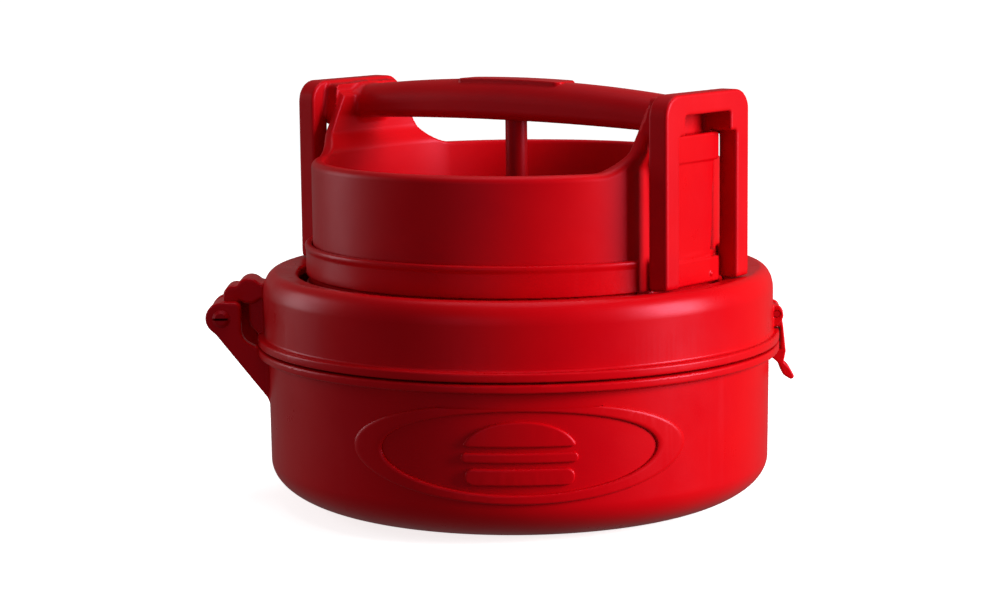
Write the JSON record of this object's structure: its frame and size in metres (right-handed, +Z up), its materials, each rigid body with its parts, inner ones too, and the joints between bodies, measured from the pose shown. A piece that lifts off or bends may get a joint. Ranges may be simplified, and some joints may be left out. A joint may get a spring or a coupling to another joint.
{
  "type": "stuffed patty press",
  "caption": "Round red plastic kitchen press: bowl with hinged, latched lid, turning collar, and a cup-shaped plunger with a bar handle.",
  "frame": {"origin": "centre of the bowl's flat underside, where it rests on the table", "axes": "+Z up through the bowl's axis; +X from the hinge (at -X) to the latch (at +X); -Y faces the viewer"},
  "size_m": [0.1668, 0.1484, 0.119],
  "materials": {
    "red_moulding": "glossy, moulded",
    "red_handle": "satin, moulded",
    "red_pin": "satin, moulded",
    "screw_steel": "satin stainless"
  },
  "bodies": {
    "base": {"base_bowl": "red_moulding", "hinge_pin": "red_pin"},
    "lid": {"lid_shell": "red_moulding", "latch_pin": "red_pin"},
    "latch": {"latch_lever": "red_moulding"},
    "collar": {"press_collar": "red_moulding", "press_ring": "red_moulding"},
    "plunger": {"plunger_cup": "red_handle", "handle_frame": "red_handle", "centre_post": "red_pin", "pocket_former": "red_moulding", "former_screw": "screw_steel"}
  },
  "joints": [
    {"name": "lid_hinge", "type": "hinge", "parent": "base", "child": "lid", "pos_m": [-0.0838, 0, 0.0527], "axis": [0, -1, 0], "range_deg": [0, 110]},
    {"name": "latch_pivot", "type": "hinge", "parent": "lid", "child": "latch", "pos_m": [0.0732, 0, 0.052], "axis": [0, -1, 0], "range_deg": [0, 85]},
    {"name": "collar_turn", "type": "hinge", "parent": "lid", "child": "collar", "pos_m": [0, 0, 0.06], "axis": [0, 0, 1], "continuous": true},
    {"name": "plunger_slide", "type": "slide", "parent": "collar", "child": "plunger", "axis": [0, 0, 1], "range_m": [0, 0.018]}
  ]
}
